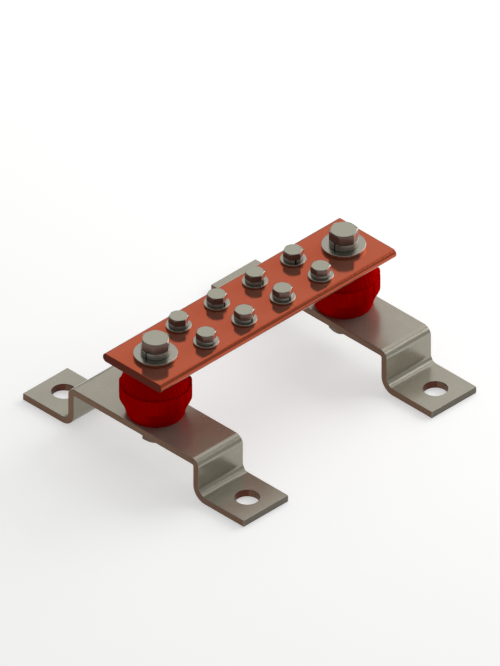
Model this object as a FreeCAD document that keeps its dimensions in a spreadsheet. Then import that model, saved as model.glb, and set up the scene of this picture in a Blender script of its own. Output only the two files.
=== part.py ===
import FreeCAD, Part
import Sketcher
import math
import os

# Earth terminal bar: a copper bar with two rows of screw terminals, carried on two red barrel
# insulators that are bolted to the raised plates of two bent strap brackets.
# Origin: middle of the footprint, at the underside of the brackets' feet.
# X runs along the copper bar, Y runs along each bracket, Z is up. Millimetres.

SIZES = [
    ("bar_length", 200, "copper bar, end to end"),
    ("bar_width", 50, "copper bar, across the rolled edges"),
    ("bar_thickness", 6, "copper bar"),
    ("bar_edge_flat", 0.2, "flat left in the middle of each rolled edge"),
    ("support_margin", 20, "each end of the bar to the insulator axis near it"),
    ("terminal_pitch", 32.5, "terminal to terminal along a row"),
    ("terminal_row_spacing", 23.4, "between the two rows of terminals"),
    ("terminals_per_row", 4, "terminals in each row"),
    ("strap_width", 38, "bracket strap"),
    ("strap_thickness", 4.7, "bracket strap"),
    ("bracket_length", 188, "foot end to foot end"),
    ("bracket_height", 29, "underside of the feet to the top of the plate"),
    ("foot_length", 38.5, "outer face of a leg to the end of its foot"),
    ("upper_bend_inside", 1, "inside radius where a leg meets the plate"),
    ("lower_bend_inside", 5, "inside radius where a leg meets its foot"),
    ("foot_hole_margin", 16, "end of a foot to the middle of its fixing hole"),
    ("foot_hole_diameter", 15, "fixing holes"),
    ("insulator_height", 35, "insulator, end face to end face"),
    ("insulator_diameter", 44.4, "insulator, round the barrel"),
    ("lower_face_diameter", 34.9, "insulator, face that stands on the bracket"),
    ("upper_face_diameter", 32.4, "insulator, face that carries the bar"),
    ("neck_diameter", 39.5, "insulator, where its slim foot meets the steeper taper"),
    ("neck_height", 7.7, "slim foot under the steeper taper"),
    ("taper_height", 12.2, "lower face to the barrel's lower edge"),
    ("shoulder_radius", 0.6, "rounding of the barrel's lower edge"),
    ("ledge_height", 21.8, "ledge on top of the barrel, from the lower face"),
    ("cone_diameter", 40.8, "fluted cone where it rises from the ledge"),
    ("flat_count", 18, "gripping flats round the barrel"),
    ("flat_width", 4.6, "gripping flat"),
    ("flat_depth", 0.5, "gripping flat, at its middle"),
    ("flute_count", 36, "flutes round the cone"),
    ("flute_width", 0.9, "flute of the cone"),
    ("flute_depth", 0.35, "flute of the cone"),
    ("insert_diameter", 15, "threaded insert"),
    ("insert_length", 13, "threaded insert"),
    ("insert_waist_depth", 1, "groove that locks the insert in the moulding"),
    ("insert_waist_length", 4, "groove that locks the insert in the moulding"),
    ("bolt_thread", 10, "insulator bolts"),
    ("bolt_across_flats", 16, "insulator bolts"),
    ("bolt_head_height", 6.4, "insulator bolts"),
    ("bar_bolt_gap", 0.7, "point of a bolt through the bar to the inner end of its insert"),
    ("bracket_bolt_gap", 4.4, "point of a bolt through a plate to the inner end of its insert"),
    ("bolt_flat_washer_diameter", 27, "flat washers of the insulator bolts"),
    ("bolt_flat_washer_thickness", 2.5, "flat washers of the insulator bolts"),
    ("bolt_spring_washer_diameter", 18, "spring washers of the insulator bolts"),
    ("bolt_spring_washer_thickness", 4.2, "spring washers of the insulator bolts"),
    ("terminal_thread", 6.35, "terminal screws"),
    ("terminal_across_flats", 11.1, "terminal screws"),
    ("terminal_head_height", 4.3, "terminal screws"),
    ("terminal_screw_length", 12, "under the head, terminal screws"),
    ("terminal_flat_washer_diameter", 15.9, "flat washers of the terminal screws"),
    ("terminal_flat_washer_thickness", 1.6, "flat washers of the terminal screws"),
    ("terminal_spring_washer_diameter", 12.4, "spring washers of the terminal screws"),
    ("terminal_spring_washer_thickness", 2.1, "spring washers of the terminal screws"),
    ("crown_margin", 0.4, "how much smaller the round top of a head is than its flats"),
    ("crown_angle", 30, "slope of the turned corners of a head, in degrees"),
    ("screw_point", 0.8, "chamfer at a screw's end"),
    ("washer_edge", 0.25, "broken outer edges of a flat washer"),
    ("split_width", 0.9, "gap in a spring washer"),
    ("hole_clearance", 1, "a bolt's hole in copper or strap over its thread"),
    ("washer_clearance", 0.5, "a washer's hole over the thread"),
    ("thread_clearance", 0.1, "a tapped hole over the thread"),
]

# Levels that the pieces stand at, all worked out from the sizes above.
PLATE_TOP = "Sizes.bracket_height"
PLATE_UNDERSIDE = "(Sizes.bracket_height - Sizes.strap_thickness)"
BAR_UNDERSIDE = "(Sizes.bracket_height + Sizes.insulator_height)"
BAR_TOP = "(Sizes.bracket_height + Sizes.insulator_height + Sizes.bar_thickness)"

# Under the head, an insulator bolt passes its washers and the copper or strap, then most of its insert.
WASHERS = "Sizes.bolt_flat_washer_thickness + Sizes.bolt_spring_washer_thickness"
BAR_BOLT_LENGTH = f"({WASHERS} + Sizes.bar_thickness + Sizes.insert_length - Sizes.bar_bolt_gap)"
BRACKET_BOLT_LENGTH = f"({WASHERS} + Sizes.strap_thickness + Sizes.insert_length - Sizes.bracket_bolt_gap)"

# How far each piece happens to be turned about its own axis, in degrees, as the pieces were
# tightened by hand. Terminals count from -X, the row at -Y first.
BAR_BOLT_TURNS = {"left": 42, "right": 26.5}
BRACKET_BOLT_TURNS = {"left": 15, "right": 35}
BAR_SPLIT_TURNS = {"left": 184, "right": 186}
BRACKET_SPLIT_TURNS = {"left": 70, "right": 110}
TERMINAL_TURNS = [25, 22, 27, 24, 26, 23, 25, 28]
TERMINAL_SPLIT_TURNS = [80, 275, 274, 65, 95, 275, 277, 240]
INSULATOR_TURN = 16

doc = FreeCAD.newDocument("earth_terminal_bar")
sizes = doc.addObject("Spreadsheet::Sheet", "Sizes")
for row, (alias, value, meaning) in enumerate(SIZES, start=1):
    sizes.set(f"A{row}", meaning)
    sizes.set(f"B{row}", str(value))
    sizes.setAlias(f"B{row}", alias)
doc.recompute()

bodies = []


def number(expression):
    """The value that an expression of the sheet has now."""
    return float(sizes.evalExpression(expression))


def new_body(name):
    """A separate piece, whose label is its node's name."""
    body = doc.addObject("PartDesign::Body", name)
    body.Label = name
    bodies.append(body)
    return body


def sketch_on(body, name, plane, level=None):
    """A sketch on one of the body's own origin planes, or at a level above it."""
    sketch = body.newObject("Sketcher::SketchObject", f"{body.Name}_{name}")
    support = next(item for item in body.Origin.OriginFeatures if item.Role == plane)
    sketch.AttachmentSupport = [(support, "")]
    sketch.MapMode = "FlatFace"
    if level is not None:
        sketch.setExpression("AttachmentOffset.Base.z", level)
    return sketch


def pin(sketch, geometry, vertex, across, up):
    """Ties one point of a sketch to its place, given as two expressions."""
    for kind, expression, axis in (("DistanceX", across, -2), ("DistanceY", up, -1)):
        if expression == "0":
            sketch.addConstraint(Sketcher.Constraint("PointOnObject", geometry, vertex, axis))
            continue
        place = Sketcher.Constraint(kind, -1, 1, geometry, vertex, number(expression))
        sketch.setExpression(f"Constraints[{sketch.addConstraint(place)}]", expression)


def outline(sketch, corners):
    """A closed run of straight lines through corners given as pairs of expressions."""
    points = [FreeCAD.Vector(number(across), number(up), 0) for across, up in corners]
    first = sketch.GeometryCount
    count = len(points)
    for index, point in enumerate(points):
        sketch.addGeometry(Part.LineSegment(point, points[(index + 1) % count]), False)
    for index in range(count):
        after = first + (index + 1) % count
        sketch.addConstraint(Sketcher.Constraint("Coincident", first + index, 2, after, 1))
    for index, (across, up) in enumerate(corners):
        pin(sketch, first + index, 1, across, up)


def circle(sketch, across, up, diameter):
    """A circle whose centre and diameter are expressions."""
    centre = FreeCAD.Vector(number(across), number(up), 0)
    shape = Part.Circle(centre, FreeCAD.Vector(0, 0, 1), number(diameter) / 2)
    index = sketch.addGeometry(shape, False)
    pin(sketch, index, 3, across, up)
    size = Sketcher.Constraint("Diameter", index, number(diameter))
    sketch.setExpression(f"Constraints[{sketch.addConstraint(size)}]", diameter)


def feature(body, kind, name, sketch, lengths=None, **settings):
    """A pad, pocket, revolution or groove made from a sketch."""
    made = body.newObject(f"PartDesign::{kind}", f"{body.Name}_{name}")
    made.Profile = sketch
    for key, value in settings.items():
        setattr(made, key, value)
    for key, expression in (lengths or {}).items():
        made.setExpression(key, expression)
    return made


def turned(body, kind, name, corners):
    """A full turn about Z of an outline in radius and height, added or cut away."""
    sketch = sketch_on(body, f"{name}_section", "XZ_Plane")
    outline(sketch, corners)
    return feature(body, kind, name, sketch, ReferenceAxis=(sketch, ["V_Axis"]), Angle=360)


def soften(body, kind, name, base, size, wanted):
    """A fillet or chamfer on those edges of the last feature that the test picks."""
    doc.recompute()
    edges = enumerate(base.Shape.Edges, start=1)
    picked = [f"Edge{index}" for index, edge in edges if wanted(edge)]
    made = body.newObject(f"PartDesign::{kind}", f"{body.Name}_{name}")
    made.Base = (base, picked)
    made.setExpression("Radius" if kind == "Fillet" else "Size", size)
    return made


def runs_along_x(edge):
    """True for a straight edge along X."""
    first, last = edge.Vertexes[0].Point, edge.Vertexes[-1].Point
    return abs(first.x - last.x) > 1e-6 and math.hypot(first.y - last.y, first.z - last.z) < 1e-6


def all_round(body, cut, count):
    """Repeats a cut evenly round the piece's own Z axis."""
    doc.recompute()
    ring = body.newObject("PartDesign::PolarPattern", f"{cut.Name}_ring")
    ring.Originals = [cut]
    axis = next(item for item in body.Origin.OriginFeatures if item.Role == "Z_Axis")
    ring.Axis = (axis, [""])
    ring.Angle = 360
    ring.setExpression("Occurrences", count)
    body.Tip = ring


def is_round(edge, diameter, heights):
    """True for a full circle of this diameter at one of these heights."""
    if not isinstance(edge.Curve, Part.Circle):
        return False
    level = edge.Curve.Center.z
    right_size = abs(edge.Curve.Radius - diameter / 2) < 1e-6
    return right_size and any(abs(level - height) < 1e-6 for height in heights)


def put(body, x, y, z, turn=0, upside_down=False):
    """Places a piece: its axis and seat are expressions, its turn about Z is in degrees."""
    spin = FreeCAD.Rotation(FreeCAD.Vector(0, 0, 1), turn)
    if upside_down:
        spin = FreeCAD.Rotation(FreeCAD.Vector(1, 0, 0), 180).multiply(spin)
    body.Placement = FreeCAD.Placement(FreeCAD.Vector(0, 0, 0), spin)
    for direction, expression in (("x", x), ("y", y), ("z", z)):
        body.setExpression(f"Placement.Base.{direction}", expression)


# Places along the bar and across it
SUPPORT = "(Sizes.bar_length / 2 - Sizes.support_margin)"
SIDES = {"left": f"-{SUPPORT}", "right": SUPPORT}
ROWS = ["-Sizes.terminal_row_spacing / 2", "Sizes.terminal_row_spacing / 2"]


def terminal_x(index):
    """Place along the bar of one terminal of a row, counted from -X."""
    return f"({index} - (Sizes.terminals_per_row - 1) / 2) * Sizes.terminal_pitch"


def copper_bar():
    """Rolled flat copper: round long edges, sawn ends, two clear holes and tapped terminal holes."""
    body = new_body("copper_bar")
    section = sketch_on(body, "section", "YZ_Plane")
    side = "Sizes.bar_width / 2"
    corners = [(f"-{side}", "0"), (side, "0"), (side, "Sizes.bar_thickness"),
               (f"-{side}", "Sizes.bar_thickness")]
    outline(section, corners)
    flat = feature(body, "Pad", "flat", section, {"Length": "Sizes.bar_length"}, SideType="Symmetric")
    rounding = "(Sizes.bar_thickness - Sizes.bar_edge_flat) / 2"
    soften(body, "Fillet", "rolled_edges", flat, rounding, runs_along_x)
    holes = sketch_on(body, "holes", "XY_Plane")
    for x in SIDES.values():
        circle(holes, x, "0", "Sizes.bolt_thread + Sizes.hole_clearance")
    for y in ROWS:
        for index in range(int(number("Sizes.terminals_per_row"))):
            circle(holes, terminal_x(index), y, "Sizes.terminal_thread + Sizes.thread_clearance")
    feature(body, "Pocket", "drilled", holes, Type="ThroughAll", Reversed=True)
    put(body, "0", "0", BAR_UNDERSIDE)


def bracket(side):
    """Flat steel strap bent four times into a raised plate between two feet."""
    body = new_body(f"bracket_{side}")
    end = "Sizes.bracket_length / 2"
    outer = "(Sizes.bracket_length / 2 - Sizes.foot_length)"
    inner = "(Sizes.bracket_length / 2 - Sizes.foot_length - Sizes.strap_thickness)"
    foot = "Sizes.strap_thickness"
    section = sketch_on(body, "section", "YZ_Plane")
    half = [(end, "0"), (end, foot), (outer, foot), (outer, PLATE_TOP)]
    under = [(inner, PLATE_UNDERSIDE), (inner, "0")]
    mirrored = [(f"-{y}", z) for y, z in reversed(half)]
    mirrored_under = [(f"-{y}", z) for y, z in reversed(under)]
    outline(section, half + mirrored + mirrored_under + under)
    last = feature(body, "Pad", "strap", section, {"Length": "Sizes.strap_width"}, SideType="Symmetric")
    bends = [
        ("upper_inside", inner, PLATE_UNDERSIDE, "Sizes.upper_bend_inside"),
        ("upper_outside", outer, PLATE_TOP, "Sizes.upper_bend_inside + Sizes.strap_thickness"),
        ("lower_inside", outer, foot, "Sizes.lower_bend_inside"),
        ("lower_outside", inner, "0", "Sizes.lower_bend_inside + Sizes.strap_thickness"),
    ]
    for name, y, z, radius in bends:
        corner = (number(y), number(z))

        def at_corner(edge):
            middle = edge.BoundBox.Center
            apart = math.hypot(abs(middle.y) - corner[0], middle.z - corner[1])
            return runs_along_x(edge) and apart < 1e-6

        last = soften(body, "Fillet", name, last, radius, at_corner)
    holes = sketch_on(body, "holes", "XY_Plane")
    foot_hole = "(Sizes.bracket_length / 2 - Sizes.foot_hole_margin)"
    for y in (foot_hole, f"-{foot_hole}"):
        circle(holes, "0", y, "Sizes.foot_hole_diameter")
    circle(holes, "0", "0", "Sizes.bolt_thread + Sizes.hole_clearance")
    feature(body, "Pocket", "punched", holes, Type="ThroughAll", Reversed=True)
    put(body, SIDES[side], "0", "0")


def insert_wall(start, step):
    """Radius and height of an insert's outside, from its mouth inwards, with the locking waist."""
    wide = "Sizes.insert_diameter / 2"
    narrow = "(Sizes.insert_diameter / 2 - Sizes.insert_waist_depth)"
    waist = "(Sizes.insert_length - Sizes.insert_waist_length) / 2"
    depths = ["0", waist, waist, f"{waist} + Sizes.insert_waist_length",
              f"{waist} + Sizes.insert_waist_length", "Sizes.insert_length"]
    radii = [wide, wide, narrow, narrow, wide, wide]
    levels = [start if depth == "0" else f"{start} {step} ({depth})" for depth in depths]
    if start == "0":
        levels = [depth if depth == "0" else f"({depth})" for depth in depths]
    return list(zip(radii, levels))


def insulator(side):
    """Red polyester moulding: slim foot, taper, barrel with gripping flats, ledge and fluted cone."""
    body = new_body(f"insulator_{side}")
    top = "Sizes.insulator_height"
    ledge = "Sizes.ledge_height"
    lower_face = "Sizes.lower_face_diameter / 2"
    upper_face = "Sizes.upper_face_diameter / 2"
    barrel = "Sizes.insulator_diameter / 2"
    cone = "Sizes.cone_diameter / 2"
    lower_socket = insert_wall("0", "+")
    upper_socket = insert_wall(top, "-")
    outside = [(lower_face, "0"), ("Sizes.neck_diameter / 2", "Sizes.neck_height"),
               (barrel, "Sizes.taper_height"), (barrel, ledge), (cone, ledge), (upper_face, top)]
    core = [("0", upper_socket[-1][1]), ("0", lower_socket[-1][1])]
    last = turned(body, "Revolution", "moulding", outside + upper_socket + core + lower_socket[::-1])
    soften(body, "Fillet", "shoulder", last, "Sizes.shoulder_radius",
           lambda edge: is_round(edge, number("Sizes.insulator_diameter"), [number("Sizes.taper_height")]))

    # The cut starts level with the neck, clear of it, so each flat runs out on the steeper taper.
    floor = "Sizes.neck_height"
    flats = sketch_on(body, "flat_outline", "XY_Plane", floor)
    half = "Sizes.flat_width / 2"
    near = f"{barrel} - Sizes.flat_depth"
    far = f"{barrel} + Sizes.flat_depth"
    outline(flats, [(near, f"-{half}"), (far, f"-{half}"), (far, half), (near, half)])
    flat = feature(body, "Pocket", "flat", flats, {"Length": f"{ledge} - {floor}"}, Reversed=True)
    all_round(body, flat, "Sizes.flat_count")

    flutes = sketch_on(body, "flute_outline", "XZ_Plane")
    outline(flutes, [(f"{cone} - Sizes.flute_depth", ledge), (f"{cone} + Sizes.flute_depth", ledge),
                     (f"{upper_face} + Sizes.flute_depth", top), (f"{upper_face} - Sizes.flute_depth", top)])
    flute = feature(body, "Pocket", "flute", flutes, {"Length": "Sizes.flute_width"}, SideType="Symmetric")
    all_round(body, flute, "Sizes.flute_count")
    put(body, SIDES[side], "0", PLATE_TOP, INSULATOR_TURN)


def insert(side, end):
    """Turned brass insert, threaded right through, with a waist that locks it in the moulding."""
    body = new_body(f"insert_{side}_{end}")
    bore = "(Sizes.bolt_thread + Sizes.thread_clearance) / 2"
    section = [(bore, "0")] + insert_wall("0", "+") + [(bore, "Sizes.insert_length")]
    turned(body, "Revolution", "turned", section)
    if end == "bottom":
        put(body, SIDES[side], "0", PLATE_TOP)
    else:
        put(body, SIDES[side], "0", BAR_UNDERSIDE, upside_down=True)


def screw(name, size, length):
    """Hexagon head screw: head upwards from its underside at zero, shank downwards."""
    body = new_body(name)
    flats = f"Sizes.{size}_across_flats"
    height = f"Sizes.{size}_head_height"
    hexagon = sketch_on(body, "hexagon", "XY_Plane")
    corner = f"{flats} / sqrt(3)"
    corners = [(corner, "0"), (f"{corner} / 2", f"{flats} / 2"), (f"-{corner} / 2", f"{flats} / 2"),
               (f"-{corner}", "0"), (f"-{corner} / 2", f"-{flats} / 2"), (f"{corner} / 2", f"-{flats} / 2")]
    outline(hexagon, corners)
    feature(body, "Pad", "head", hexagon, {"Length": height})
    crown = f"({flats} - Sizes.crown_margin) / 2"
    drop = f"({flats} - {crown}) * tan(Sizes.crown_angle * 1 deg)"
    turned(body, "Groove", "crown", [(crown, height), (flats, height), (flats, f"{height} - {drop}")])
    ring = sketch_on(body, "shank_outline", "XY_Plane")
    circle(ring, "0", "0", f"Sizes.{size}_thread")
    shank = feature(body, "Pad", "shank", ring, {"Length": length}, Reversed=True)
    soften(body, "Chamfer", "point", shank, "Sizes.screw_point",
           lambda edge: is_round(edge, number(f"Sizes.{size}_thread"), [-number(length)]))
    return body


def flat_washer(name, size):
    """Stamped flat washer with broken outer edges."""
    body = new_body(name)
    diameter = f"Sizes.{size}_flat_washer_diameter"
    thickness = f"Sizes.{size}_flat_washer_thickness"
    rings = sketch_on(body, "rings", "XY_Plane")
    circle(rings, "0", "0", diameter)
    circle(rings, "0", "0", f"Sizes.{size}_thread + Sizes.washer_clearance")
    disc = feature(body, "Pad", "disc", rings, {"Length": thickness})
    soften(body, "Chamfer", "edges", disc, "Sizes.washer_edge",
           lambda edge: is_round(edge, number(diameter), [0, number(thickness)]))
    return body


def spring_washer(name, size):
    """Square-section spring ring, squeezed flat, with its gap on the +X side."""
    body = new_body(name)
    thickness = f"Sizes.{size}_spring_washer_thickness"
    rings = sketch_on(body, "rings", "XY_Plane")
    circle(rings, "0", "0", f"Sizes.{size}_spring_washer_diameter")
    circle(rings, "0", "0", f"Sizes.{size}_thread + Sizes.washer_clearance")
    feature(body, "Pad", "ring", rings, {"Length": thickness})
    gap = sketch_on(body, "gap", "YZ_Plane")
    half = "Sizes.split_width / 2"
    outline(gap, [(f"-{half}", "0"), (half, "0"), (half, thickness), (f"-{half}", thickness)])
    feature(body, "Pocket", "split", gap, Type="ThroughAll", Reversed=True)
    return body


def fastening(group, which, size, length, x, y, seat, turn, split_turn, downwards=False):
    """A flat washer on its seat, a spring washer on that, and a screw through both."""
    away = "-" if downwards else "+"
    on_flat = f"{seat} {away} Sizes.{size}_flat_washer_thickness"
    on_spring = f"{on_flat} {away} Sizes.{size}_spring_washer_thickness"
    put(flat_washer(f"{group}_flat_washer_{which}", size), x, y, seat, 0, downwards)
    put(spring_washer(f"{group}_spring_washer_{which}", size), x, y, on_flat, split_turn, downwards)
    kind = "screw" if group == "terminal" else "bolt"
    put(screw(f"{group}_{kind}_{which}", size, length), x, y, on_spring, turn, downwards)


copper_bar()
for side, x in SIDES.items():
    bracket(side)
    insulator(side)
    insert(side, "bottom")
    insert(side, "top")
    fastening("bar", side, "bolt", BAR_BOLT_LENGTH, x, "0", BAR_TOP,
              BAR_BOLT_TURNS[side], BAR_SPLIT_TURNS[side])
    fastening("bracket", side, "bolt", BRACKET_BOLT_LENGTH, x, "0", PLATE_UNDERSIDE,
              BRACKET_BOLT_TURNS[side], BRACKET_SPLIT_TURNS[side], downwards=True)
terminals_per_row = int(number("Sizes.terminals_per_row"))
for row, y in enumerate(ROWS):
    for index in range(terminals_per_row):
        place = row * terminals_per_row + index
        fastening("terminal", place + 1, "terminal", "Sizes.terminal_screw_length", terminal_x(index), y,
                  BAR_TOP, TERMINAL_TURNS[place % len(TERMINAL_TURNS)],
                  TERMINAL_SPLIT_TURNS[place % len(TERMINAL_SPLIT_TURNS)])

# Nothing is written unless every feature is sound and every cut has taken material away.
doc.recompute()
for item in doc.Objects:
    if "Invalid" in item.State or "Error" in item.State:
        raise RuntimeError(f"{item.Name} failed: {item.State}")
    if item.TypeId in ("PartDesign::Pocket", "PartDesign::Groove"):
        if item.Shape.Volume >= item.BaseFeature.Shape.Volume - 1e-6:
            raise RuntimeError(f"{item.Name} cut nothing")
for body in bodies:
    if body.Shape.isNull() or not body.Shape.isValid() or len(body.Shape.Solids) != 1:
        raise RuntimeError(f"{body.Label} is not one sound solid")
os.makedirs("parts", exist_ok=True)
for body in bodies:
    body.Shape.exportStep(f"parts/{body.Label}.step")
print(f"{len(bodies)} pieces written")
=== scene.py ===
import math

import bpy
import numpy as np
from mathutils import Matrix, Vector


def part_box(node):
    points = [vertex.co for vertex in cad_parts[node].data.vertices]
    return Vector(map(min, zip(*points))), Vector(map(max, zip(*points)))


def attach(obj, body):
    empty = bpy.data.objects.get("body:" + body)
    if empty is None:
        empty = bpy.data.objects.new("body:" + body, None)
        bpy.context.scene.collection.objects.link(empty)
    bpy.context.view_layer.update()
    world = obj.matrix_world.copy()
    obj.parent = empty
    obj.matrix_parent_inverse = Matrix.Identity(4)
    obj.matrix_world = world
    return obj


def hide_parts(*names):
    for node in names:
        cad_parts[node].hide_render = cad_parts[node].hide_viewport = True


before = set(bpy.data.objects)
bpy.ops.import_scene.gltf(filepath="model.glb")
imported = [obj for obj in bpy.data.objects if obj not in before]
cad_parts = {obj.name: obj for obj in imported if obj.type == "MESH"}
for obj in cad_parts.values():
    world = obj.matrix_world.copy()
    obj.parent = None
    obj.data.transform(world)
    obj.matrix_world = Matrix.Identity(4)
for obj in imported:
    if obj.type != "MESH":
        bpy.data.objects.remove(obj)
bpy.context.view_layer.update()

MM = 0.001  # everything below is written in millimetres, and becomes metres as it is made

# The view
# The camera looks down on the object's -X -Y corner with no perspective, as a drawing does.

VIEW_AZIMUTH = -45
VIEW_ELEVATION = 35.264
VIEW_HEIGHT = 400.5
AIM = Vector((0.15, -0.15, 46.6)) * MM
STAND_OFF = 900

camera_data = bpy.data.cameras.new("camera")
camera_data.type = "ORTHO"
camera_data.ortho_scale = VIEW_HEIGHT * MM
camera = bpy.data.objects.new("camera", camera_data)
azimuth = math.radians(VIEW_AZIMUTH)
elevation = math.radians(VIEW_ELEVATION)
to_camera = Vector((math.sin(azimuth) * math.cos(elevation), -math.cos(azimuth) * math.cos(elevation),
                    math.sin(elevation)))
camera.location = AIM + to_camera * STAND_OFF * MM
camera.rotation_euler = to_camera.to_track_quat("Z", "Y").to_euler()
bpy.context.scene.collection.objects.link(camera)
bpy.context.scene.camera = camera
bpy.context.scene.view_settings.view_transform = "Standard"

# The room
# A pale studio floor, a soft white world and two large lamps: one high behind, which the top
# faces mirror, and a key at the camera's right for the right-hand sides.


def add_node(tree, kind, inputs=None, **settings):
    """Adds one shader node: settings are its properties, and inputs are values or sockets to link."""
    made = tree.nodes.new(kind)
    for key, value in settings.items():
        setattr(made, key, value)
    for key, value in (inputs or {}).items():
        if isinstance(value, bpy.types.NodeSocket):
            tree.links.new(value, made.inputs[key])
        else:
            made.inputs[key].default_value = value
    return made


def linear(colour):
    """The linear red, green, blue and alpha of an sRGB hex colour."""
    parts = [int(colour[place:place + 2], 16) / 255 for place in (1, 3, 5)]
    return [part / 12.92 if part <= 0.04045 else ((part + 0.055) / 1.055) ** 2.4 for part in parts] + [1]


def new_material(name, **fixed):
    """A material with one Principled shader whose unchanging numbers and colours are given here."""
    material = bpy.data.materials.new(name)
    material.use_nodes = True
    tree = material.node_tree
    tree.nodes.clear()
    inputs = {key.replace("_", " "): value for key, value in fixed.items()}
    shader = add_node(tree, "ShaderNodeBsdfPrincipled", inputs)
    add_node(tree, "ShaderNodeOutputMaterial", {"Surface": shader.outputs["BSDF"]})
    return material, tree, shader


PAPER_LIFT = 0.45
PAPER_MOTTLES_PER_METRE = 6


def studio_paper():
    """Matt white paper with the slightest mottle, so that it isn't one flat colour.

    The camera, and metal and gloss that mirror the floor, see it a little lighter than it is lit;
    the paper throws no extra light on the object and keeps the object's shadow."""
    material, tree, shader = new_material("matt_studio_paper", Roughness=0.9, Emission_Color=(1, 1, 1, 1))
    place = add_node(tree, "ShaderNodeTexCoord")
    mottle = add_node(tree, "ShaderNodeTexNoise", {"Vector": place.outputs["Object"],
                                                   "Scale": PAPER_MOTTLES_PER_METRE})
    tint = add_node(tree, "ShaderNodeMix", {0: mottle.outputs["Fac"], 6: linear("#D9D9D8"),
                                            7: linear("#DCDCDB")}, data_type="RGBA")
    tree.links.new(tint.outputs[2], shader.inputs["Base Color"])
    path = add_node(tree, "ShaderNodeLightPath")
    seen = add_node(tree, "ShaderNodeMath", {0: path.outputs["Is Camera Ray"],
                                             1: path.outputs["Is Glossy Ray"]}, operation="MAXIMUM")
    shown = add_node(tree, "ShaderNodeMath", {0: seen.outputs[0], 1: path.outputs["Is Transmission Ray"]},
                     operation="MAXIMUM")
    lift = add_node(tree, "ShaderNodeMath", {0: shown.outputs[0], 1: PAPER_LIFT}, operation="MULTIPLY")
    tree.links.new(lift.outputs[0], shader.inputs["Emission Strength"])
    return material


FLOOR_SIZE = 6000
FLOOR_DROP = 0.05
floor_mesh = bpy.data.meshes.new("floor")
reach = FLOOR_SIZE / 2 * MM
floor_level = -FLOOR_DROP * MM
floor_corners = [(x * reach, y * reach, floor_level) for x, y in ((-1, -1), (1, -1), (1, 1), (-1, 1))]
floor_mesh.from_pydata(floor_corners, [], [(0, 1, 2, 3)])
floor_mesh.materials.append(studio_paper())
floor = bpy.data.objects.new("floor", floor_mesh)
bpy.context.scene.collection.objects.link(floor)

ROOM_STRENGTH = 0.32
world = bpy.data.worlds.new("soft_room")
world.use_nodes = True
bpy.context.scene.world = world
room = world.node_tree.nodes["Background"]
room.inputs["Color"].default_value = (1, 1, 1, 1)
room.inputs["Strength"].default_value = ROOM_STRENGTH


def softbox(name, azimuth_deg, elevation_deg, distance, width, height, power):
    """A rectangular lamp that faces the middle of the object. Azimuth 0 stands at -Y, 90 at +X.

    The distance, width and height are in millimetres and the power is in watts."""
    data = bpy.data.lights.new(name, "AREA")
    data.shape = "RECTANGLE"
    data.size = width * MM
    data.size_y = height * MM
    data.energy = power
    lamp = bpy.data.objects.new(name, data)
    around = math.radians(azimuth_deg)
    above = math.radians(elevation_deg)
    away = Vector((math.sin(around) * math.cos(above), -math.cos(around) * math.cos(above), math.sin(above)))
    lamp.location = away * distance * MM
    lamp.rotation_euler = away.to_track_quat("Z", "Y").to_euler()
    bpy.context.scene.collection.objects.link(lamp)


softbox("back_softbox", 135, 50, distance=1500, width=2200, height=1500, power=7.6)
softbox("key_softbox", 80, 24, distance=1300, width=1300, height=900, power=12)

# Strap brackets
# Two lengths of 38 by 4.7 mm mild-steel strap, each bent four times on a press brake, with
# two punched fixing holes in the feet and one hole in the plate, then zinc plated and dulled.

STRAP_EDGE = 0.45
UPPER_BEND = 1.0
LOWER_BEND = 5.0
STRAP_THICKNESS = 4.7
FOOT_LENGTH = 38.5
FOOT_HOLE = 15
FOOT_HOLE_MARGIN = 16
PLATE_HOLE = 11
PUNCH_ROLL = 0.35
BEND_STEPS = 12
DRAW_STEPS = 4
ROUND_STEPS = 96
SHARP_ANGLE = 35
CUTTER_OVERSHOOT = 1
BREAK_KNEE = 0.3
BREAK_RISE = 0.05
LOOKS_ALONG = 0.8


def skin(rings, joined=False):
    """Points and faces of closed rings laid one after another along a piece.

    rings[i, j] is point j of ring i. Quad (i, j) takes it, point j + 1 and the same two points of
    ring i + 1, so a ring runs anticlockwise as seen from the end that the rings go to. The two ends
    are closed by fans round their middles, or the last ring meets the first."""
    count, size = rings.shape[:2]
    points = rings.reshape(-1, 3)
    index = np.arange(count * size).reshape(count, size)
    beside = np.roll(index, -1, axis=1)
    if joined:
        above, corner = np.roll(index, -1, axis=0), np.roll(beside, -1, axis=0)
        quads = np.stack([index, beside, corner, above], axis=-1).reshape(-1, 4)
        return points, quads.tolist()
    quads = np.stack([index[:-1], beside[:-1], beside[1:], index[1:]], axis=-1).reshape(-1, 4)
    middles = np.stack([rings[0].mean(axis=0), rings[-1].mean(axis=0)])
    first, last = np.full(size, len(points)), np.full(size, len(points) + 1)
    start = np.stack([beside[0], index[0], first], axis=-1)
    end = np.stack([index[-1], beside[-1], last], axis=-1)
    return np.concatenate([points, middles]), quads.tolist() + start.tolist() + end.tolist()


def new_piece(name, surface, materials):
    """An object at the origin made from points in millimetres and faces, smooth up to the sharp angle."""
    points, faces = surface
    mesh = bpy.data.meshes.new(name)
    mesh.from_pydata((np.asarray(points) * MM).tolist(), [], faces)
    mesh.update()
    for material in materials:
        mesh.materials.append(material)
    mesh.shade_smooth()
    mesh.set_sharp_from_angle(angle=math.radians(SHARP_ANGLE))
    piece = bpy.data.objects.new(name, mesh)
    bpy.context.scene.collection.objects.link(piece)
    return piece


def stands_for(piece, slot, *nodes):
    """Fixes a piece to the object in place of these CAD nodes. slot is not used."""
    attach(piece, "root")
    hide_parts(*nodes)


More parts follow.
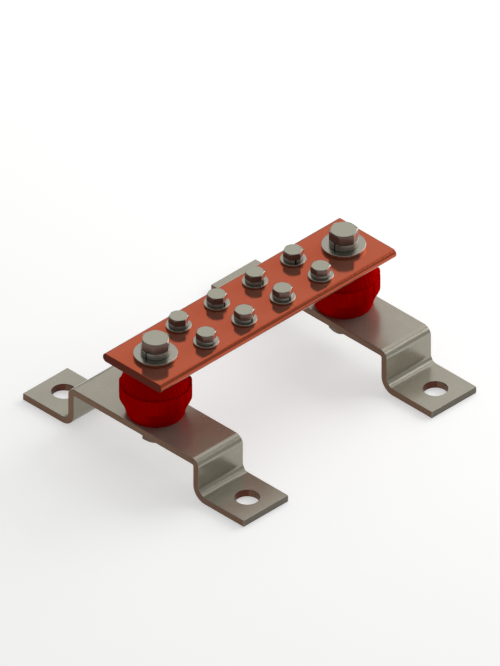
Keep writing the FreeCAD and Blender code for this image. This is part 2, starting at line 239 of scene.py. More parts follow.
def rounded_rectangle(width, height, radius, steps=5):
    """Anticlockwise points of a rectangle round the origin, each corner a quarter circle."""
    turn = np.linspace(0, np.pi / 2, steps)
    quarter = np.arange(4)[:, None] * np.pi / 2
    signs = np.array([(1, 1), (-1, 1), (-1, -1), (1, -1)])
    across = signs[:, :1] * (width / 2 - radius) + radius * np.cos(quarter + turn)
    up = signs[:, 1:] * (height / 2 - radius) + radius * np.sin(quarter + turn)
    return np.stack([across.ravel(), up.ravel()], axis=-1)


def turned_rings(profile, angle):
    """Rings of a profile turned about Z.

    profile[k] is corner k as radius and height, for every angle or for one, and angle goes round."""
    radius = np.broadcast_to(profile[..., 0], (len(profile), len(angle)))
    height = np.broadcast_to(profile[..., 1], (len(profile), len(angle)))
    return np.stack([radius * np.cos(angle), radius * np.sin(angle), height], axis=-1)


def all_round():
    """Evenly spaced angles round a circle."""
    return np.arange(ROUND_STEPS) * 2 * np.pi / ROUND_STEPS


def punch(places, diameter, low, high, roll):
    """Round cutters through a plate from low to high, each wider by roll where it enters at the top.

    The profile widens in two slopes: roll times the knee share just under the top, and the rest of
    roll a hair above it."""
    radius = diameter / 2
    knee = roll * BREAK_KNEE
    profile = [(radius, low - CUTTER_OVERSHOOT), (radius, high - roll), (radius + knee, high - knee),
               (radius + roll, high + BREAK_RISE), (radius + roll, high + CUTTER_OVERSHOOT)]
    rings = turned_rings(np.array(profile)[:, None], all_round())
    points, faces = [], []
    for x, y in places:
        more_points, more_faces = skin(rings + np.array([x, y, 0]))
        offset = sum(len(part) for part in points)
        points.append(more_points)
        faces += [[corner + offset for corner in face] for face in more_faces]
    return np.concatenate(points), faces


def cut_holes(piece, holes, material):
    """Takes closed cutters away from a piece and keeps the result as its own mesh; walls get the material."""
    cutter = new_piece("cutter", holes, [material])
    modifier = piece.modifiers.new("holes", "BOOLEAN")
    modifier.operation = "DIFFERENCE"
    modifier.solver = "EXACT"
    modifier.material_mode = "TRANSFER"
    modifier.object = cutter
    result = bpy.data.meshes.new_from_object(piece.evaluated_get(bpy.context.evaluated_depsgraph_get()))
    piece.modifiers.clear()
    piece.data = result
    result.name = piece.name
    bpy.data.objects.remove(cutter)
    result.shade_smooth()
    result.set_sharp_from_angle(angle=math.radians(SHARP_ANGLE))
    weights = piece.modifiers.new("flat_faces_stay_flat", "WEIGHTED_NORMAL")
    weights.keep_sharp = True


def give_surface(tree, shader, tint, rough, bump=None):
    """Links a shader to its colour, its roughness and, where there is one, its relief."""
    tree.links.new(tint.outputs[2], shader.inputs["Base Color"])
    tree.links.new(rough.outputs["Result"], shader.inputs["Roughness"])
    if bump:
        tree.links.new(bump.outputs["Normal"], shader.inputs["Normal"])


def zinc_plated_strap():
    """Dull zinc plating on hot-rolled strap: a soft grey metal with the pickled steel's fine grain."""
    material, tree, shader = new_material("zinc_plated_hot_rolled_strap", Metallic=0.6)
    place = add_node(tree, "ShaderNodeTexCoord")
    # Pickled grain is about 0.1 mm; it is drawn at 0.7 mm, as fine as the render can show.
    grain = add_node(tree, "ShaderNodeTexNoise", {"Vector": place.outputs["Object"], "Scale": 1 / (0.7 * MM),
                                                  "Detail": 3.0})
    cloud = add_node(tree, "ShaderNodeTexNoise", {"Vector": place.outputs["Object"], "Scale": 1 / (14 * MM),
                                                  "Detail": 2.0})
    both = add_node(tree, "ShaderNodeMix", {0: 0.4, 2: grain.outputs["Fac"], 3: cloud.outputs["Fac"]})
    tint = add_node(tree, "ShaderNodeMix", {0: both.outputs[0], 6: linear("#928D7E"), 7: linear("#B4AFA0")},
                    data_type="RGBA")
    rough = add_node(tree, "ShaderNodeMapRange", {"Value": both.outputs[0], "To Min": 0.18, "To Max": 0.32})
    bump = add_node(tree, "ShaderNodeBump", {"Height": grain.outputs["Fac"], "Strength": 0.12,
                                             "Distance": 0.05 * MM})
    give_surface(tree, shader, tint, rough, bump)
    return material


def cut_steel(name, dark, pale):
    """Slit, sheared or punched steel wall: duller, with fine burnish lines down the cut, and coloured darker
    than the strap's face as painted shade.
    """
    material, tree, shader = new_material(name, Metallic=1.0)
    place = add_node(tree, "ShaderNodeTexCoord")
    # Per metre: burnish lines stand 0.5 mm apart along the cut and run its full depth.
    stretch = add_node(tree, "ShaderNodeMapping", {"Vector": place.outputs["Object"],
                                                   "Scale": (2000, 2000, 120)})
    lines = add_node(tree, "ShaderNodeTexNoise", {"Vector": stretch.outputs["Vector"], "Scale": 1.0})
    tint = add_node(tree, "ShaderNodeMix", {0: lines.outputs["Fac"], 6: linear(dark), 7: linear(pale)},
                    data_type="RGBA")
    rough = add_node(tree, "ShaderNodeMapRange", {"Value": lines.outputs["Fac"], "To Min": 0.34,
                                                  "To Max": 0.5})
    bump = add_node(tree, "ShaderNodeBump", {"Height": lines.outputs["Fac"], "Strength": 0.3,
                                             "Distance": 0.06 * MM})
    give_surface(tree, shader, tint, rough, bump)
    return material


def half_strap(length, plate_top):
    """Place and heading along the middle of the strap from one foot's end to the plate.

    The heading is 0 along the foot and the plate and a quarter turn up the leg; each bend is an
    arc about its own centre, with the strap's middle at the inside radius plus half a thickness."""
    half = STRAP_THICKNESS / 2
    quarter = np.linspace(0, np.pi / 2, BEND_STEPS + 1)
    leg = length / 2 - FOOT_LENGTH
    lower = LOWER_BEND + half
    low_y = leg + LOWER_BEND - lower * np.sin(quarter)
    low_z = STRAP_THICKNESS + LOWER_BEND - lower * np.cos(quarter)
    upper = UPPER_BEND + half
    high_y = leg - STRAP_THICKNESS - UPPER_BEND + upper * np.sin(quarter[::-1])
    high_z = plate_top - STRAP_THICKNESS - UPPER_BEND + upper * np.cos(quarter[::-1])
    return np.stack([np.concatenate([low_y, high_y]), np.concatenate([low_z, high_z]),
                     np.concatenate([quarter, quarter[::-1]])], axis=-1)


def strap_rings(x, length, width, plate_top):
    """A rounded rectangle carried along the strap's middle line, drawn in at both ends.

    Ring point (u, w) lies at x + u across the strap and w along the line's normal."""
    half = half_strap(length, plate_top)
    other = half[::-1] * np.array([-1, 1, -1])
    draw = np.linspace(0, np.pi / 2, DRAW_STEPS)
    inset = STRAP_EDGE * (1 - np.sin(draw))
    end_y = length / 2 - STRAP_EDGE * (1 - np.cos(draw))
    end = np.stack([end_y, np.full_like(draw, STRAP_THICKNESS / 2), np.zeros_like(draw)], axis=-1)
    line = np.concatenate([end, half, other, end[::-1] * np.array([-1, 1, 1])])
    drawn_in = np.concatenate([inset, np.zeros(len(half) * 2), inset[::-1]])
    section = rounded_rectangle(width, STRAP_THICKNESS, STRAP_EDGE)
    limit = np.array([width, STRAP_THICKNESS]) / 2 - drawn_in[:, None]
    scale = limit / (np.array([width, STRAP_THICKNESS]) / 2)
    across = section[:, 0] * scale[:, :1]
    off = section[:, 1] * scale[:, 1:]
    y, z, heading = (line[:, place:place + 1] for place in range(3))
    return np.stack([x + across, y + off * np.sin(heading), z + off * np.cos(heading)], axis=-1)


def face_facts(mesh, axis):
    """Every face's material number, and how far it looks along an axis and lies along it in millimetres."""
    count = len(mesh.polygons)
    normals, middles, materials = np.empty(count * 3), np.empty(count * 3), np.empty(count, int)
    mesh.polygons.foreach_get("normal", normals)
    mesh.polygons.foreach_get("center", middles)
    mesh.polygons.foreach_get("material_index", materials)
    return materials, normals[axis::3], middles[axis::3] / MM


def edge_faces(piece, axis, material, beyond=0):
    """Gives one of a piece's materials to the faces that look along one axis, further out than beyond."""
    materials, look, place = face_facts(piece.data, axis)
    along = (np.abs(look) > LOOKS_ALONG) & (np.abs(place) > beyond)
    piece.data.polygons.foreach_set("material_index", np.where(along, material, materials).tolist())


strap_face = zinc_plated_strap()
# The cut walls are coloured darker than the plated face as painted shade: dark brown on the slit edges,
# grey-brown on the sheared ends, reddish brown in the punched holes.
slit_edge = cut_steel("slit_strap_edge_painted_shade", "#634939", "#856A56")
sheared_end = cut_steel("sheared_strap_end_painted_shade", "#5D584F", "#7B756A")
punched_wall = cut_steel("punched_hole_wall_painted_shade", "#52302A", "#7A4C3E")
for side in ("left", "right"):
    node = f"bracket_{side}"
    low, high = (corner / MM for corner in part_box(node))
    axis_x = (low.x + high.x) / 2
    bracket = new_piece(node + "_strap", skin(strap_rings(axis_x, high.y - low.y, high.x - low.x, high.z)),
                        [strap_face, slit_edge, sheared_end, punched_wall])
    foot_y = high.y - FOOT_HOLE_MARGIN
    foot_holes = punch([(axis_x, foot_y), (axis_x, -foot_y)], FOOT_HOLE, 0, STRAP_THICKNESS, PUNCH_ROLL)
    cut_holes(bracket, foot_holes, punched_wall)
    plate_hole = punch([(axis_x, 0)], PLATE_HOLE, high.z - STRAP_THICKNESS, high.z, PUNCH_ROLL)
    cut_holes(bracket, plate_hole, punched_wall)
    # Faces looking along X become the slit edges, and the foot ends the sheared ends, both in painted-shade
    # colours.
    edge_faces(bracket, axis=0, material=1)
    edge_faces(bracket, axis=1, material=2, beyond=high.y - STRAP_EDGE)
    stands_for(bracket, "strap_steel", node)

# Insulators
# Red glass-filled polyester, pressed hot in a two-part mould: a slim foot and a taper, a barrel
# with gripping flats, and a ledge and fluted cone up to the bar. Brass inserts sit in both ends.

LOWER_FACE = 34.9
NECK = 39.5
NECK_HEIGHT = 7.7
BARREL = 44.4
TAPER_HEIGHT = 12.2
LEDGE_HEIGHT = 21.8
CONE = 40.8
UPPER_FACE = 32.4
FLAT_COUNT = 18
FLAT_WIDTH = 4.6
FLAT_DEPTH = 0.5
FLUTE_COUNT = 36
FLUTE_WIDTH = 0.9
FLUTE_DEPTH = 0.35
INSULATOR_TURN = 16
FLAT_EDGE = 0.3
FLUTE_EDGE = 0.55
EDGE_LEAD = 0.1
INSERT = 15
INSERT_LENGTH = 13
INSERT_WAIST = 13
WAIST_LENGTH = 4
OUTSIDE_ROUNDING = [0.3, 0.8, 0.6, 0.35, 0.3, 0.35]
SOCKET_ROUNDING = 0.1
# Degrees from a flute's middle, closer together where a flute or a flat begins
FLUTE_COLUMNS = np.array([-5, -4.3, -3.7, -2.2, -1.7, -1.2, -0.6, 0, 0.6, 1.2, 1.7, 2.2, 3.7, 4.3])
CORNER_SHARE = 0.45
NO_LENGTH = 1e-9


def rounded(profile, reach, steps=5, closed=False):
    """A profile with each corner replaced by a parabola that starts and ends at most reach away from it.

    Where a side is short, the parabola takes at most the corner's share of it. profile[k] is corner
    k as radius and height, for every angle or for one. The parabola at corner P from A to B is
    (1 - t)^2 A + 2 t (1 - t) P + t^2 B."""
    before = np.roll(profile, 1, axis=0) - profile
    after = np.roll(profile, -1, axis=0) - profile
    size = np.broadcast_to(np.asarray(reach, float).reshape(-1, 1, 1), profile[..., :1].shape)
    length_before = np.linalg.norm(before, axis=-1, keepdims=True)
    length_after = np.linalg.norm(after, axis=-1, keepdims=True)
    start = profile + before * np.minimum(size / np.maximum(length_before, NO_LENGTH), CORNER_SHARE)
    end = profile + after * np.minimum(size / np.maximum(length_after, NO_LENGTH), CORNER_SHARE)
    t = np.linspace(0, 1, steps).reshape(1, -1, 1, 1)
    curve = (1 - t) ** 2 * start[:, None] + 2 * t * (1 - t) * profile[:, None] + t ** 2 * end[:, None]
    curve = curve.reshape(-1, *profile.shape[1:])
    if closed:
        return curve
    return np.concatenate([profile[:1], curve[steps:-steps], profile[-1:]])


def step(value, width):
    """0 below zero, 1 above width and a smooth rise between."""
    part = np.clip(value / width, 0, 1)
    return part * part * (3 - 2 * part)


def insulator_rings(height):
    """The moulding's outline at every angle, turned about Z.

    A flat is a plane at a fixed distance from the axis, so the barrel's radius there is that
    distance over the cosine of the angle from the flat's middle, and its lower edge is where the
    taper has that radius. A flute lowers the cone's radius by its depth within half its width."""
    angle = np.radians((np.arange(FLUTE_COUNT)[:, None] * 360 / FLUTE_COUNT + FLUTE_COLUMNS).ravel())
    flat_pitch = 2 * np.pi / FLAT_COUNT
    off_flat = (angle + flat_pitch / 2) % flat_pitch - flat_pitch / 2
    inside = step(FLAT_WIDTH / 2 - np.abs(np.sin(off_flat)) * BARREL / 2 + EDGE_LEAD, FLAT_EDGE)
    plane = (BARREL / 2 - FLAT_DEPTH) / np.cos(off_flat)
    barrel = BARREL / 2 - inside * np.maximum(BARREL / 2 - plane, 0)
    slope = (TAPER_HEIGHT - NECK_HEIGHT) / (BARREL - NECK) * 2
    lower_edge = TAPER_HEIGHT - (BARREL / 2 - barrel) * slope

    flute_pitch = 2 * np.pi / FLUTE_COUNT
    off_flute = np.abs(np.sin((angle + flute_pitch / 2) % flute_pitch - flute_pitch / 2))
    cone, upper = (size / 2 - FLUTE_DEPTH * step(FLUTE_WIDTH / 2 - off_flute * size / 2 + EDGE_LEAD,
                                                 FLUTE_EDGE) for size in (CONE, UPPER_FACE))

    waist_start, waist_end = (INSERT_LENGTH - WAIST_LENGTH) / 2, (INSERT_LENGTH + WAIST_LENGTH) / 2
    socket = [(INSERT / 2, 0), (INSERT / 2, waist_start), (INSERT_WAIST / 2, waist_start),
              (INSERT_WAIST / 2, waist_end), (INSERT / 2, waist_end), (INSERT / 2, INSERT_LENGTH)]
    outside = [(LOWER_FACE / 2, 0), (NECK / 2, NECK_HEIGHT), (barrel, lower_edge), (barrel, LEDGE_HEIGHT),
               (cone, LEDGE_HEIGHT), (upper, height)]
    corners = socket[::-1] + outside + [(radius, height - depth) for radius, depth in socket]
    profile = np.array([np.broadcast_arrays(*pair, angle)[:2] for pair in corners]).transpose(0, 2, 1)
    in_socket = [SOCKET_ROUNDING] * len(socket)
    return turned_rings(rounded(profile, in_socket + OUTSIDE_ROUNDING + in_socket),
                        angle + math.radians(INSULATOR_TURN))


def red_polyester():
    """Glossy red polyester: deep colour, a smooth pressed skin and faint flow clouds of glass fibre.

    On the object its gloss shows the room in red alone, as lacquer over foil does, so the shader
    has no white gloss of its own: it is partly metallic with a red edge tint and a red rim."""
    material, tree, shader = new_material("glossy_red_glass_polyester", Metallic=0.2, IOR=1.55,
                                          Specular_IOR_Level=0.0, Specular_Tint=(1, 0, 0, 1),
                                          Sheen_Weight=0.5, Sheen_Roughness=0.3, Sheen_Tint=(1, 0, 0, 1))
    place = add_node(tree, "ShaderNodeTexCoord")
    flow = add_node(tree, "ShaderNodeTexNoise", {"Vector": place.outputs["Object"], "Scale": 1 / (9 * MM),
                                                 "Detail": 3.0})
    tint = add_node(tree, "ShaderNodeMix", {0: flow.outputs["Fac"], 6: linear("#A20000"),
                                            7: linear("#B00000")}, data_type="RGBA")
    # The pressed skin's ripple is about 0.9 mm from crest to crest.
    ripple = add_node(tree, "ShaderNodeTexNoise", {"Vector": place.outputs["Object"],
                                                   "Scale": 1 / (0.9 * MM)})
    rough = add_node(tree, "ShaderNodeMapRange", {"Value": flow.outputs["Fac"], "To Min": 0.26,
                                                  "To Max": 0.36})
    bump = add_node(tree, "ShaderNodeBump", {"Height": ripple.outputs["Fac"], "Strength": 0.05,
                                             "Distance": 0.04 * MM})
    give_surface(tree, shader, tint, rough, bump)
    return material


def turned_brass():
    """Free-cutting brass from a lathe: bright yellow with fine turning rings."""
    material, tree, shader = new_material("turned_brass", Metallic=1.0)
    place = add_node(tree, "ShaderNodeTexCoord")
    # Per metre: turning rings stand 0.25 mm apart up the insert.
    stretch = add_node(tree, "ShaderNodeMapping", {"Vector": place.outputs["Object"],
                                                   "Scale": (60, 60, 4000)})
    rings = add_node(tree, "ShaderNodeTexNoise", {"Vector": stretch.outputs["Vector"], "Scale": 1.0})
    tint = add_node(tree, "ShaderNodeMix", {0: rings.outputs["Fac"], 6: linear("#C4A254"),
                                            7: linear("#DCBC72")}, data_type="RGBA")
    rough = add_node(tree, "ShaderNodeMapRange", {"Value": rings.outputs["Fac"], "To Min": 0.2,
                                                  "To Max": 0.32})
    give_surface(tree, shader, tint, rough)
    return material


moulding_red = red_polyester()
insert_brass = turned_brass()
for side in ("left", "right"):
    node = f"insulator_{side}"
    low, high = (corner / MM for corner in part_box(node))
    seat = np.array([(low.x + high.x) / 2, 0, low.z])
    moulding = new_piece(node + "_moulding", skin(insulator_rings(high.z - low.z) + seat), [moulding_red])
    stands_for(moulding, "red_moulding", node)
    for end in ("top", "bottom"):
        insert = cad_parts[f"insert_{side}_{end}"]
        insert.data.materials.clear()
        insert.data.materials.append(insert_brass)

# Copper bar
# Hard-drawn flat copper with rolled round edges, sawn to length at both ends, drilled for the
# two insulator bolts and drilled and tapped for the eight terminals. It lies on the insulators.

EDGE_FLAT = 0.2
SAW_BREAK = 0.3
CLEAR_HOLE = 11
TAPPED_HOLE = 6.45
DRILL_BREAK = 0.3
EDGE_STEPS = 17


def bar_rings(low, high):
    """A flat section with half-round edges carried along X, drawn in by a small break at each sawn end."""
    width, thickness = high.y - low.y, high.z - low.z
    section = rounded_rectangle(width, thickness, (thickness - EDGE_FLAT) / 2, EDGE_STEPS)
    draw = np.linspace(0, np.pi / 2, DRAW_STEPS)
    inset = SAW_BREAK * (1 - np.sin(draw))
    end_x = SAW_BREAK * (1 - np.cos(draw))
    along = np.concatenate([low.x + end_x, high.x - end_x[::-1]])
    inset = np.concatenate([inset, inset[::-1]])
    y = section[:, 0] * (1 - inset[:, None] / (width / 2))
    z = section[:, 1] * (1 - inset[:, None] / (thickness / 2)) + (low.z + high.z) / 2
    return np.stack([np.repeat(along[:, None], len(section), axis=1), y, z], axis=-1)


def rolled_copper():
    """Hard-drawn copper flat: brownish red, satin, with long fine die lines along the bar.

    A thin pale haze of oxide and dust lies over it, which greys what the copper mirrors."""
    material, tree, shader = new_material("hard_drawn_copper", Metallic=0.85, Sheen_Weight=0.17,
                                          Sheen_Roughness=0.7, Sheen_Tint=(1, 0.85, 0.65, 1))
    place = add_node(tree, "ShaderNodeTexCoord")
    # Per metre: die lines run tens of millimetres along X and stand 0.7 mm apart.
    stretch = add_node(tree, "ShaderNodeMapping", {"Vector": place.outputs["Object"],
                                                   "Scale": (40, 1400, 1400)})
    lines = add_node(tree, "ShaderNodeTexNoise", {"Vector": stretch.outputs["Vector"], "Scale": 1.0,
                                                  "Detail": 3.0})
    grain = add_node(tree, "ShaderNodeTexNoise", {"Vector": place.outputs["Object"], "Scale": 1 / (0.8 * MM),
                                                  "Detail": 2.0})
    both = add_node(tree, "ShaderNodeMix", {0: 0.5, 2: lines.outputs["Fac"], 3: grain.outputs["Fac"]})
    tint = add_node(tree, "ShaderNodeMix", {0: both.outputs[0], 6: linear("#A63D1A"), 7: linear("#B84D29")},
                    data_type="RGBA")
    rough = add_node(tree, "ShaderNodeMapRange", {"Value": both.outputs[0], "To Min": 0.09, "To Max": 0.14})
    bump = add_node(tree, "ShaderNodeBump", {"Height": both.outputs[0], "Strength": 0.03,
                                             "Distance": 0.03 * MM})
    give_surface(tree, shader, tint, rough, bump)
    return material


def sawn_copper():
    """Cut copper: duller, with saw lines straight down the end, and coloured darker than the bar's face as
    painted shade.
    """
    material, tree, shader = new_material("sawn_copper", Metallic=1.0)
    place = add_node(tree, "ShaderNodeTexCoord")
    # Per metre: saw lines stand 0.9 mm apart and run the end's full depth.
    stretch = add_node(tree, "ShaderNodeMapping", {"Vector": place.outputs["Object"],
                                                   "Scale": (1100, 1100, 90)})
    lines = add_node(tree, "ShaderNodeTexNoise", {"Vector": stretch.outputs["Vector"], "Scale": 1.0})
    tint = add_node(tree, "ShaderNodeMix", {0: lines.outputs["Fac"], 6: linear("#562014"),
                                            7: linear("#6E2E1E")}, data_type="RGBA")
    bump = add_node(tree, "ShaderNodeBump", {"Height": lines.outputs["Fac"], "Strength": 0.3,
                                             "Distance": 0.08 * MM})
    rough = add_node(tree, "ShaderNodeMapRange", {"Value": lines.outputs["Fac"], "To Min": 0.55,
                                                  "To Max": 0.7})
    give_surface(tree, shader, tint, rough, bump)
    return material


def middle_of(node):
    """The middle of a CAD node's box, seen from above, in millimetres."""
    low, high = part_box(node)
    return ((low.x + high.x) / 2 / MM, (low.y + high.y) / 2 / MM)


copper_face = rolled_copper()
copper_cut = sawn_copper()
TERMINALS = sorted(name.rsplit("_", 1)[1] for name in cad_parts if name.startswith("terminal_screw_"))
low, high = (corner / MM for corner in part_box("copper_bar"))
bar = new_piece("copper_bar_flat", skin(bar_rings(low, high)), [copper_face, copper_cut])
bolt_places = [middle_of(f"bar_flat_washer_{side}") for side in ("left", "right")]
terminal_places = [middle_of(f"terminal_flat_washer_{which}") for which in TERMINALS]
# The drilled hole walls and the sawn ends take the cut copper's darker colour, which is painted shade.
cut_holes(bar, punch(bolt_places, CLEAR_HOLE, low.z, high.z, DRILL_BREAK), copper_cut)
cut_holes(bar, punch(terminal_places, TAPPED_HOLE, low.z, high.z, DRILL_BREAK), copper_cut)
edge_faces(bar, axis=0, material=1)
stands_for(bar, "copper", "copper_bar")

# Bolts, screws and washers
# Under each screw's head lie a thick spring washer and a flat washer. M10 bolts hold brackets
# and bar to the insulators; quarter-inch screws are the terminals. All are zinc-plated steel.

BOLT = {"across_flats": 16, "thread": 10, "pitch": 1.5, "spring_diameter": 18}
TERMINAL = {"across_flats": 11.1, "thread": 6.35, "pitch": 1.27, "spring_diameter": 12.4}
BAR_BOLT_TURNS = {"left": 42, "right": 26.5}
BRACKET_BOLT_TURNS = {"left": 15, "right": 35}
BAR_SPLIT_TURNS = {"left": 184, "right": 186}
BRACKET_SPLIT_TURNS = {"left": 70, "right": 110}
TERMINAL_TURNS = [25, 22, 27, 24, 26, 23, 25, 28]
TERMINAL_SPLIT_TURNS = [80, 275, 274, 65, 95, 275, 277, 240]
HOLE_OVER_THREAD = 0.5
SPLIT_WIDTH = 0.9
CROWN_MARGIN = 0.4
CROWN_ANGLE = 30
HEAD_ROUNDING = [0.01, 0.2, 0.22, 0.3, 0.01]
HEAD_COLUMNS = 16
CORNER_CROWDING = 1.8
CORNER_POWER = 60
POINT_INSET = 0.96
POINT_HEIGHT = 0.64
POINT_BREAK = 0.15
THREAD_START = 0.8
THREAD_STEPS = 6
THREAD_DEPTH = 0.6
THREAD_END = 0.6
FADE_START = 0.4
FADE_LENGTH = 0.8
TOOTH_SLOPE = 1.3
TOOTH_CREST = 0.15
FLANK_LIMIT = 0.7
CHAMFER_LIMIT = 0.96
WASHER_EDGE = 0.25
SPRING_EDGE = 0.35
SPRING_DRAW = 0.3
SPRING_LEAD = np.array([0, 0.3, 1])
SPRING_STEPS = 71
WASHER_ROUND_STEPS = 4


def head_angles():
    """Angles round a hexagon, closer together towards its six corners at 0, 60, 120 degrees and so on."""
    share = np.linspace(-1, 1, HEAD_COLUMNS + 1)[:-1]
    from_corner = 30 * np.sign(share) * np.abs(share) ** CORNER_CROWDING
    return np.radians((np.arange(6)[:, None] * 60 + from_corner).ravel())


def hexagon_reach(angle, across_flats):
    """Distance from the axis to a hexagon with softened corners.

    It is the apothem over a power mean of the cosines of the angles to the six flats, which
    follows the nearest flat and eases from one to the next at a corner."""
    flats = np.arange(6) * np.pi / 3 + np.pi / 6
    toward = np.maximum(np.cos(angle[:, None] - flats), 0)
    return across_flats / 2 / (toward ** CORNER_POWER).sum(axis=1) ** (1 / CORNER_POWER)


def screw_rings(kind, head_height, length):
    """A screw from its point to the top of its head, with the underside of its head at height zero.

    The shank's radius is lowered by a flattened zigzag of height over pitch minus the angle's
    share of a turn, which is a right-hand thread that fades out at both ends. The thread's depth
    and plain end are shares of its pitch. The head follows the hexagon, and its crown is a cone
    that cuts the corners off."""
    angle = head_angles()
    radius = kind["thread"] / 2
    pitch = kind["pitch"]
    run = length - THREAD_START - pitch * THREAD_END
    rings = np.arange(int(run / pitch * THREAD_STEPS) + 1)
    level = -length + THREAD_START + rings * pitch / THREAD_STEPS
    phase = (level[:, None] / pitch - angle / (2 * np.pi)) % 1
    tooth = np.clip(TOOTH_SLOPE * np.abs(2 * phase - 1) - TOOTH_CREST, 0, 1)
    fade = step(level + length - FADE_START, FADE_LENGTH) * step(level[-1] - level, FADE_LENGTH)
    thread = radius - THREAD_DEPTH * pitch * tooth * fade[:, None]
    shank = np.stack([thread, np.repeat(level[:, None], len(angle), axis=1)], axis=-1)
    point = np.array([(radius - POINT_INSET, -length), (radius - POINT_BREAK, -length + POINT_HEIGHT)])
    point = np.repeat(point[:, None], len(angle), axis=1)

    reach = hexagon_reach(angle, kind["across_flats"])
    crown = (kind["across_flats"] - CROWN_MARGIN) / 2
    top = np.full_like(reach, head_height)
    zero = np.zeros_like(reach)
    corners = [(zero + radius, zero), (reach, zero),
               (reach, top - (reach - crown) * math.tan(math.radians(CROWN_ANGLE))),
               (zero + crown, top), (zero + crown / 2, top)]
    head = rounded(np.stack([np.stack(pair, axis=-1) for pair in corners]), HEAD_ROUNDING)
    return turned_rings(np.concatenate([point, shank, head]), angle)


def washer_rings(outer, hole, thickness):
    """A rectangle of radius and height with broken corners, turned about Z into a closed ring."""
    inner, edge = hole / 2, outer / 2
    corners = np.array([(inner, 0), (edge, 0), (edge, thickness), (inner, thickness)])[:, None]
    return turned_rings(rounded(corners, WASHER_EDGE, WASHER_ROUND_STEPS, closed=True), all_round())


def spring_rings(outer, hole, thickness):
    """A squared section carried round from one side of the gap to the other.

    The gap's two faces are parallel, so each section point starts and ends at its own angle: the
    arcsine of half the gap over the radius. The section shrinks towards its middle at both ends."""
    inner, edge = hole / 2, outer / 2
    corners = np.array([(inner, 0), (inner, thickness), (edge, thickness), (edge, 0)])[:, None]
    section = rounded(corners, SPRING_EDGE, WASHER_ROUND_STEPS, closed=True)[:, 0]
    middle = section.mean(axis=0)
    between = np.linspace(0, 1, SPRING_STEPS + 2)[1:-1]
    along = np.concatenate([np.zeros_like(SPRING_LEAD), between, np.ones_like(SPRING_LEAD)])
    inset = SPRING_DRAW * np.concatenate([1 - SPRING_LEAD, between * 0, 1 - SPRING_LEAD[::-1]])
    pull = SPRING_DRAW * np.concatenate([SPRING_LEAD, between * 0, -SPRING_LEAD[::-1]])
    shrink = 1 - inset[:, None, None] / (thickness / 2)
    points = middle + (section - middle) * shrink
    radius, height = points[..., 0], points[..., 1]
    first = np.arcsin(SPLIT_WIDTH / 2 / radius)
    last = 2 * np.pi - first
    angle = first + along[:, None] * (last - first) + pull[:, None] / radius
    return np.stack([radius * np.cos(angle), radius * np.sin(angle), height], axis=-1)


def head_faces(piece, low, high, flank, chamfer):
    """Gives the flanks and the crown's chamfers between two levels their own of the piece's materials, which
    carry the darker painted-shade colours.
    """
    materials, look, level = face_facts(piece.data, 2)
    look = np.where((level > low) & (level < high), np.abs(look), 1)
    materials[look < CHAMFER_LIMIT] = chamfer
    materials[look < FLANK_LIMIT] = flank
    piece.data.polygons.foreach_set("material_index", materials.tolist())


def seated(rings, place, seat, turn, downwards):
    """Turns rings about Z by degrees, lays them upside down if asked, and moves them to their seat.

    Upside down is half a turn about X, which changes the sign of y and z."""
    around = math.radians(turn)
    x = rings[..., 0] * math.cos(around) - rings[..., 1] * math.sin(around)
    y = rings[..., 0] * math.sin(around) + rings[..., 1] * math.cos(around)
    flip = -1 if downwards else 1
    return np.stack([place[0] + x, place[1] + y * flip, seat + rings[..., 2] * flip], axis=-1)


def plated_fastener(name, dark, pale, smooth, dull, scale, metallic=1.0):
    """Zinc-plated steel: a clear grey plating over the marks of how the piece was formed.

    smooth and dull are the least and the most roughness, and scale is the size of the marks in
    millimetres. metallic is under 1 where some of the base colour shows as a matt colour. The darker
    colours given for the hexagon flanks and the crown chamfers are painted shade."""
    material, tree, shader = new_material(name, Metallic=metallic)
    place = add_node(tree, "ShaderNodeTexCoord")
    marks = add_node(tree, "ShaderNodeTexNoise", {"Vector": place.outputs["Object"],
                                                  "Scale": 1 / (scale * MM), "Detail": 3.0})
    tint = add_node(tree, "ShaderNodeMix", {0: marks.outputs["Fac"], 6: linear(dark), 7: linear(pale)},
                    data_type="RGBA")
    rough = add_node(tree, "ShaderNodeMapRange", {"Value": marks.outputs["Fac"], "To Min": smooth,
                                                  "To Max": dull})
    bump = add_node(tree, "ShaderNodeBump", {"Height": marks.outputs["Fac"], "Strength": 0.04,
                                             "Distance": 0.03 * MM})
    give_surface(tree, shader, tint, rough, bump)
    return material


cold_headed = plated_fastener("cold_headed_zinc_plated_screw", "#9A998A", "#9F9E8F", 0.14, 0.2, 0.7)
stamped = plated_fastener("stamped_tumbled_zinc_washer", "#96938A", "#A3A094", 0.2, 0.3, 0.6)
tempered = plated_fastener("tempered_zinc_spring_washer", "#85827A", "#9C998F", 0.3, 0.42, 0.5, metallic=0.7)
# The hexagon flanks and the crown's chamfers are the crown's own plated steel. Their darker, browner colours
# are painted shade, and the chamfers' glint at the right comes from the key lamp.
rolled_flank = plated_fastener("hexagon_flank_painted_shade", "#6E584F", "#7E675D", 0.26, 0.36, 0.5, metallic=0.6)
turned_chamfer = plated_fastener("crown_chamfer_painted_shade", "#877C72", "#968B80", 0.06, 0.12, 0.5)


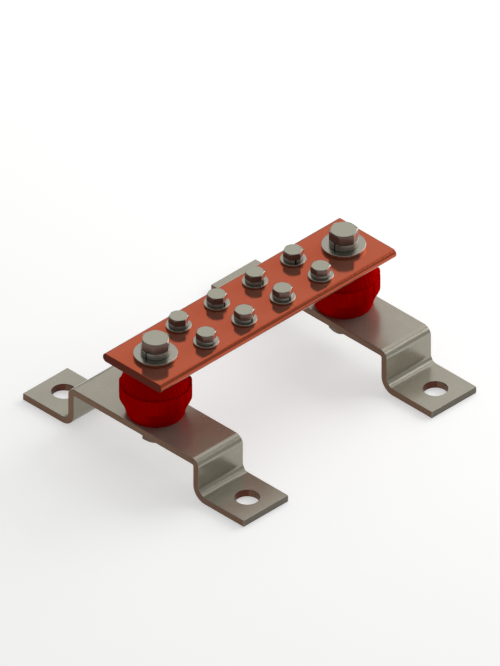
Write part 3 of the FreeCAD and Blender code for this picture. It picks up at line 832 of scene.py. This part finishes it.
def fastening(group, which, kind, turn, split_turn, downwards=False):
    """One screw with its spring washer and flat washer, at the places and levels of their CAD nodes."""
    flat_node = f"{group}_flat_washer_{which}"
    spring_node = f"{group}_spring_washer_{which}"
    screw_node = f"{group}_{'screw' if group == 'terminal' else 'bolt'}_{which}"
    place = middle_of(flat_node)
    flat_low, flat_high = (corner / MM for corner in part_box(flat_node))
    screw_low, screw_high = (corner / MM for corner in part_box(screw_node))
    spring_low, spring_high = (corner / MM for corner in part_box(spring_node))
    hole = kind["thread"] + HOLE_OVER_THREAD
    thickness = flat_high.z - flat_low.z
    squeezed = spring_high.z - spring_low.z
    if downwards:
        flat_seat, spring_seat, head_seat = flat_high.z, spring_high.z, spring_low.z
        head_height, length = head_seat - screw_low.z, screw_high.z - head_seat
    else:
        flat_seat, spring_seat, head_seat = flat_low.z, spring_low.z, spring_high.z
        head_height, length = screw_high.z - head_seat, head_seat - screw_low.z
    flat_rings = washer_rings(flat_high.x - flat_low.x, hole, thickness)
    flat = new_piece(flat_node + "_stamping",
                     skin(seated(flat_rings, place, flat_seat, 0, downwards), joined=True), [stamped])
    stands_for(flat, "washer_steel", flat_node)
    ring = spring_rings(kind["spring_diameter"], hole, squeezed)
    spring = new_piece(spring_node + "_coil",
                       skin(seated(ring, place, spring_seat, split_turn, downwards)), [tempered])
    stands_for(spring, "spring_steel", spring_node)
    screw = new_piece(screw_node + "_forging",
                      skin(seated(screw_rings(kind, head_height, length), place, head_seat, turn, downwards)),
                      [cold_headed, rolled_flank, turned_chamfer])
    crown_level = screw_low.z if downwards else screw_high.z
    head_faces(screw, min(head_seat, crown_level), max(head_seat, crown_level), flank=1, chamfer=2)
    stands_for(screw, "screw_steel", screw_node)


for side in ("left", "right"):
    fastening("bracket", side, BOLT, BRACKET_BOLT_TURNS[side], BRACKET_SPLIT_TURNS[side], downwards=True)
    fastening("bar", side, BOLT, BAR_BOLT_TURNS[side], BAR_SPLIT_TURNS[side])
for place, which in enumerate(TERMINALS):
    fastening("terminal", which, TERMINAL, TERMINAL_TURNS[place], TERMINAL_SPLIT_TURNS[place])
